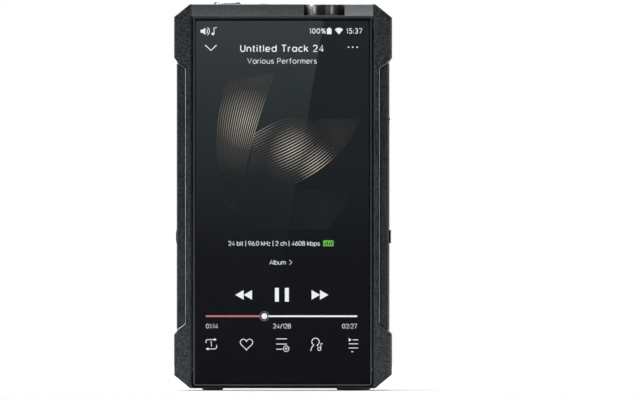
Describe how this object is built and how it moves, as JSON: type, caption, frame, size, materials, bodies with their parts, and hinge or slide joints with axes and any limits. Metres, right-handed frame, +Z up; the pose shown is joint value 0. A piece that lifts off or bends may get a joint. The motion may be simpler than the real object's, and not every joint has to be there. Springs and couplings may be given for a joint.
{
  "type": "portable digital audio player",
  "caption": "Slab-shaped digital audio player with a touch screen, a volume wheel let into its top bar, collared headphone jacks, recessed side rails with keys, and a vented rear cover.",
  "frame": {"origin": "below the middle of the case, on the plane the two lower jack collars stand on", "axes": "+Z up along the height, +X to the right seen from the screen side, +Y from the screen to the rear face"},
  "size_m": [0.088, 0.028, 0.1578],
  "materials": {
    "case_coat": "fine-grained dark coat over machined aluminium",
    "rail_coat": "fine-grained dark coat, edges cut bright",
    "trim_metal": "polished, cut at 45 degrees",
    "bar_metal": "satin anodised, very fine brushed grain",
    "base_coat": "fine-grained dark coat",
    "chassis_metal": "milled",
    "cover_coat": "fine-grained dark coat",
    "inlay_leather": "grained, matte",
    "mesh_steel": "etched perforated sheet",
    "window_plastic": "matte",
    "pad_rubber": "matte, slightly dusty",
    "screw_steel": "black oxide, worn in the socket",
    "cover_glass": "polished cover glass, edges bevelled",
    "gasket_foam": "black adhesive foam",
    "display_glass": "lit display under the glass",
    "flex_film": "amber film",
    "board_laminate": "solder-masked laminate",
    "shield_steel": "tinned sheet",
    "spreader_copper": "rolled copper sheet",
    "heatsink_metal": "extruded, unpolished",
    "battery_wrap": "heat-sealed pouch film",
    "lead_plastic": "sleeved wires and connector",
    "capacitor_can": "sleeved cans, polished tops",
    "jack_plastic": "moulded",
    "collar_metal": "turned, dark polished",
    "contact_gold": "gold plated",
    "port_steel": "drawn shell",
    "encoder_plastic": "moulded",
    "ring_diffuser": "milky light guide",
    "wheel_metal": "dark polished, turned",
    "shaft_steel": "ground",
    "key_metal": "satin dark metal, edges worn",
    "strip_plastic": "smooth touch surface",
    "switch_plastic": "moulded switches on thin boards",
    "tray_metal": "coat to match the rail",
    "card_plastic": "moulded card"
  },
  "bodies": {
    "case": {"side_frame_left": "case_coat", "side_frame_right": "case_coat", "side_rail_left": "rail_coat", "side_rail_right": "rail_coat", "rail_trim_left": "trim_metal", "rail_trim_right": "trim_metal", "top_bar": "bar_metal", "bottom_bar": "base_coat", "chassis_plate": "chassis_metal", "rear_cover": "cover_coat", "rear_inlay": "inlay_leather", "vent_mesh": "mesh_steel", "antenna_window": "window_plastic", "rear_pads": "pad_rubber", "rear_screws": "screw_steel", "chassis_screws": "screw_steel", "rail_screws": "screw_steel", "board_screws": "screw_steel", "board_posts": "chassis_metal", "cover_glass": "cover_glass", "display_gasket": "gasket_foam", "display_panel": "display_glass", "display_flex": "flex_film", "main_board": "board_laminate", "processor_shield": "shield_steel", "audio_shields": "shield_steel", "heat_spreader": "spreader_copper", "heatsink": "heatsink_metal", "battery_pack": "battery_wrap", "battery_lead": "lead_plastic", "output_board": "board_laminate", "output_flex": "flex_film", "filter_capacitors": "capacitor_can", "large_jack": "jack_plastic", "large_jack_collar": "collar_metal", "large_jack_contacts": "contact_gold", "small_jack": "jack_plastic", "small_jack_collar": "collar_metal", "balanced_jack": "jack_plastic", "balanced_jack_collar": "collar_metal", "usb_port_left": "port_steel", "usb_port_right": "port_steel", "card_socket": "shield_steel", "encoder": "encoder_plastic", "encoder_board": "board_laminate", "wheel_light_ring": "ring_diffuser", "touch_strip": "strip_plastic", "side_switches": "switch_plastic"},
    "wheel": {"volume_wheel": "wheel_metal", "wheel_shaft": "shaft_steel"},
    "power": {"power_button": "key_metal"},
    "function": {"function_button": "key_metal"},
    "next": {"next_key": "key_metal"},
    "play": {"play_key": "key_metal"},
    "previous": {"previous_key": "key_metal"},
    "hold": {"hold_slider": "key_metal"},
    "tray": {"card_tray": "tray_metal", "memory_card": "card_plastic"}
  },
  "joints": [
    {"name": "wheel_spin", "type": "hinge", "parent": "case", "child": "wheel", "pos_m": [0.01695, -0.006, 0.1545], "axis": [0, 0, 1], "continuous": true},
    {"name": "power_press", "type": "slide", "parent": "case", "child": "power", "axis": [0, 0, -1], "range_m": [0, 0.0003], "stiffness_N_per_m": 3000, "springref_m": -0.0002},
    {"name": "function_press", "type": "slide", "parent": "case", "child": "function", "axis": [1, 0, 0], "range_m": [0, 0.0003], "stiffness_N_per_m": 3000, "springref_m": -0.0002},
    {"name": "next_press", "type": "slide", "parent": "case", "child": "next", "axis": [-1, 0, 0], "range_m": [0, 0.0003], "stiffness_N_per_m": 3000, "springref_m": -0.0002},
    {"name": "play_press", "type": "slide", "parent": "case", "child": "play", "axis": [-1, 0, 0], "range_m": [0, 0.0003], "stiffness_N_per_m": 3000, "springref_m": -0.0002},
    {"name": "previous_press", "type": "slide", "parent": "case", "child": "previous", "axis": [-1, 0, 0], "range_m": [0, 0.0003], "stiffness_N_per_m": 3000, "springref_m": -0.0002},
    {"name": "hold_slide", "type": "slide", "parent": "case", "child": "hold", "axis": [0, 0, -1], "range_m": [0, 0.0024]},
    {"name": "tray_slide", "type": "slide", "parent": "case", "child": "tray", "axis": [1, 0, 0], "range_m": [0, 0.017]}
  ]
}
